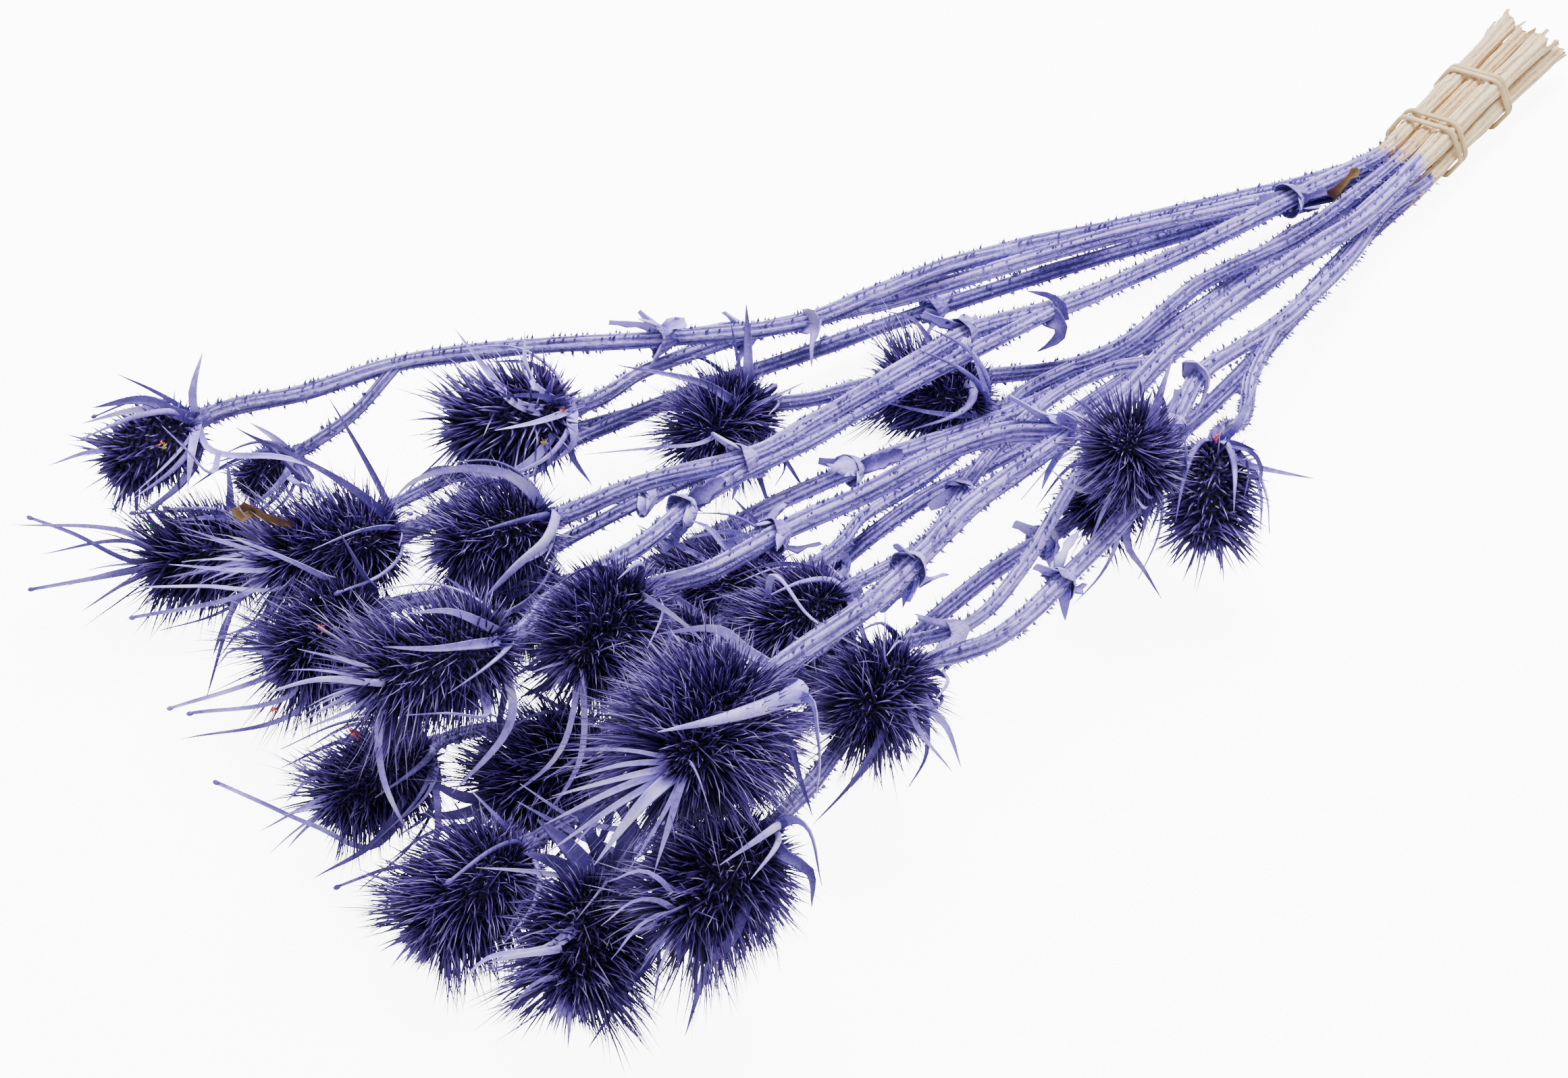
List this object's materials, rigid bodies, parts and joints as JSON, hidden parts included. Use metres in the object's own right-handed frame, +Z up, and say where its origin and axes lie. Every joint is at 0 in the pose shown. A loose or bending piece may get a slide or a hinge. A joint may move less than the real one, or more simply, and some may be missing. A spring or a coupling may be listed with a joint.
{
  "type": "dried teasel bunch",
  "caption": "Tied bunch of dried, dyed teasels lying on its side: prickly ribbed stems fanning out from two rubber bands to spiny egg-shaped heads.",
  "frame": {"origin": "middle of the underside of the bounding box, on the surface that the bunch lies on", "axes": "+X along the bunch from the cut ends to the heads, +Y across the fan, +Z up"},
  "size_m": [0.6194, 0.2974, 0.0956],
  "materials": {
    "stem": "dyed dry stem, matt",
    "head": "dyed dry bristles, matt",
    "band": "plain rubber band"
  },
  "bodies": {
    "root": {"stem_A": "stem", "stem_B": "stem", "stem_C": "stem", "stem_D": "stem", "stem_E": "stem", "stem_F": "stem", "stem_G": "stem", "stem_H": "stem", "stem_J": "stem", "stem_L": "stem", "head_A1": "head", "head_A2": "head", "head_B1": "head", "head_C1": "head", "head_C2": "head", "head_D1": "head", "head_D2": "head", "head_E1": "head", "head_E2": "head", "head_E3": "head", "head_E4": "head", "head_F1": "head", "head_F2": "head", "head_F3": "head", "head_G1": "head", "head_G2": "head", "head_H1": "head", "head_H2": "head", "head_H3": "head", "head_H4": "head", "head_J1": "head", "head_J2": "head", "head_J3": "head", "head_L1": "head", "head_L2": "head", "head_L3": "head", "band_cut_side": "band", "band_fan_side": "band"}
  },
  "joints": []
}
